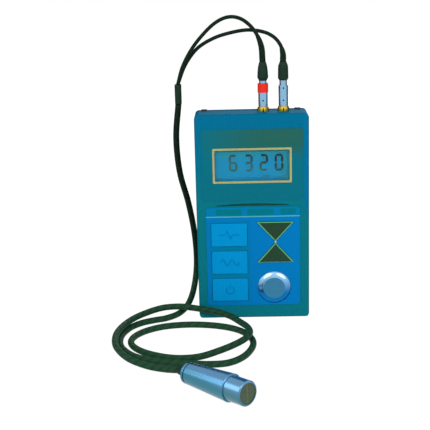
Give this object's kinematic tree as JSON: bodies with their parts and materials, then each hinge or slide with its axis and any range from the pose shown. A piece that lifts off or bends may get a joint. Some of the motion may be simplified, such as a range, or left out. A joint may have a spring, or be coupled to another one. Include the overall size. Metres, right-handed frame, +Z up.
{
  "type": "ultrasonic thickness gauge",
  "caption": "Hand-held ultrasonic thickness gauge: upright flat case with display, membrane keys and reference disc, and a cylindrical probe on a looped cable with plugs.",
  "frame": {"origin": "middle of the lower end of the upright case, on the surface that it stands on", "axes": "+Z up along the case, -Y out of the face with the display and keys, +X to the viewer's right"},
  "size_m": [0.1169, 0.1601, 0.1839],
  "materials": {
    "case_shell": "metallic teal-blue lacquer",
    "door": "metallic teal-blue lacquer",
    "label": "printed film",
    "frame": "satin beige print",
    "window": "clear",
    "lcd": "blue liquid crystal cell",
    "black_plastic": "moulded",
    "boards": "green solder mask",
    "contact_rubber": "soft",
    "keypad": "printed film",
    "keys": "satin",
    "arrows": "satin dark green",
    "steel": "turned",
    "dark_steel": "blackened",
    "spring_steel": "nickel plated",
    "cells": "plain metal jacket",
    "gilt": "gilt",
    "marker": "red",
    "cable_rubber": "smooth black-green",
    "probe_shell": "bright satin plating",
    "delay": "dark cast resin",
    "cork": "cork",
    "crystal": "ceramic",
    "damping": "loaded resin"
  },
  "bodies": {
    "case": {"front_case": "case_shell", "rear_case": "case_shell", "battery_tray": "black_plastic", "cell_left": "cells", "cell_right": "cells", "battery_springs": "spring_steel", "battery_contacts": "spring_steel", "case_screws": "steel", "top_screws": "dark_steel", "display_label": "label", "display_frame": "frame", "display_window": "window", "lcd_cell": "lcd", "lcd_holder": "black_plastic", "contact_strips": "contact_rubber", "main_board": "boards", "board_parts": "black_plastic", "keypad_board": "boards", "board_link": "black_plastic", "board_screws": "steel", "keypad_panel": "keypad", "key_domes": "spring_steel", "reference_disc": "steel", "socket_left": "gilt", "socket_right": "gilt", "socket_nuts": "gilt", "plug_left": "steel", "plug_right": "steel", "boot_left": "cable_rubber", "boot_right": "cable_rubber", "lead_left": "cable_rubber", "lead_right": "cable_rubber", "cable_yoke": "cable_rubber", "probe_cable": "cable_rubber", "probe_gland": "cable_rubber", "probe_barrel": "probe_shell", "probe_nose": "probe_shell", "delay_left": "delay", "delay_right": "delay", "sound_barrier": "cork", "crystals": "crystal", "damping_block": "damping"},
    "key_top": {"key_top": "keys"},
    "key_middle": {"key_middle": "keys"},
    "key_bottom": {"key_bottom": "keys"},
    "key_down": {"key_down": "arrows"},
    "key_up": {"key_up": "arrows"},
    "battery_door": {"battery_door": "door"},
    "sleeve_left": {"sleeve_left": "steel", "marker_ring": "marker"},
    "sleeve_right": {"sleeve_right": "steel"}
  },
  "joints": [
    {"name": "key_top_press", "type": "slide", "parent": "case", "child": "key_top", "axis": [0, 1, 0], "range_m": [0, 0.0005], "stiffness_N_per_m": 3000},
    {"name": "key_middle_press", "type": "slide", "parent": "case", "child": "key_middle", "axis": [0, 1, 0], "range_m": [0, 0.0005], "stiffness_N_per_m": 3000},
    {"name": "key_bottom_press", "type": "slide", "parent": "case", "child": "key_bottom", "axis": [0, 1, 0], "range_m": [0, 0.0005], "stiffness_N_per_m": 3000},
    {"name": "key_down_press", "type": "slide", "parent": "case", "child": "key_down", "axis": [0, 1, 0], "range_m": [0, 0.0005], "stiffness_N_per_m": 3000},
    {"name": "key_up_press", "type": "slide", "parent": "case", "child": "key_up", "axis": [0, 1, 0], "range_m": [0, 0.0005], "stiffness_N_per_m": 3000},
    {"name": "battery_door_hinge", "type": "hinge", "parent": "case", "child": "battery_door", "pos_m": [0, 0.0115, 0.06335], "axis": [1, 0, 0], "range_deg": [0, 60]},
    {"name": "sleeve_left_release", "type": "slide", "parent": "case", "child": "sleeve_left", "axis": [0, 0, 1], "range_m": [0, 0.0012], "stiffness_N_per_m": 2000},
    {"name": "sleeve_right_release", "type": "slide", "parent": "case", "child": "sleeve_right", "axis": [0, 0, 1], "range_m": [0, 0.0012], "stiffness_N_per_m": 2000}
  ]
}
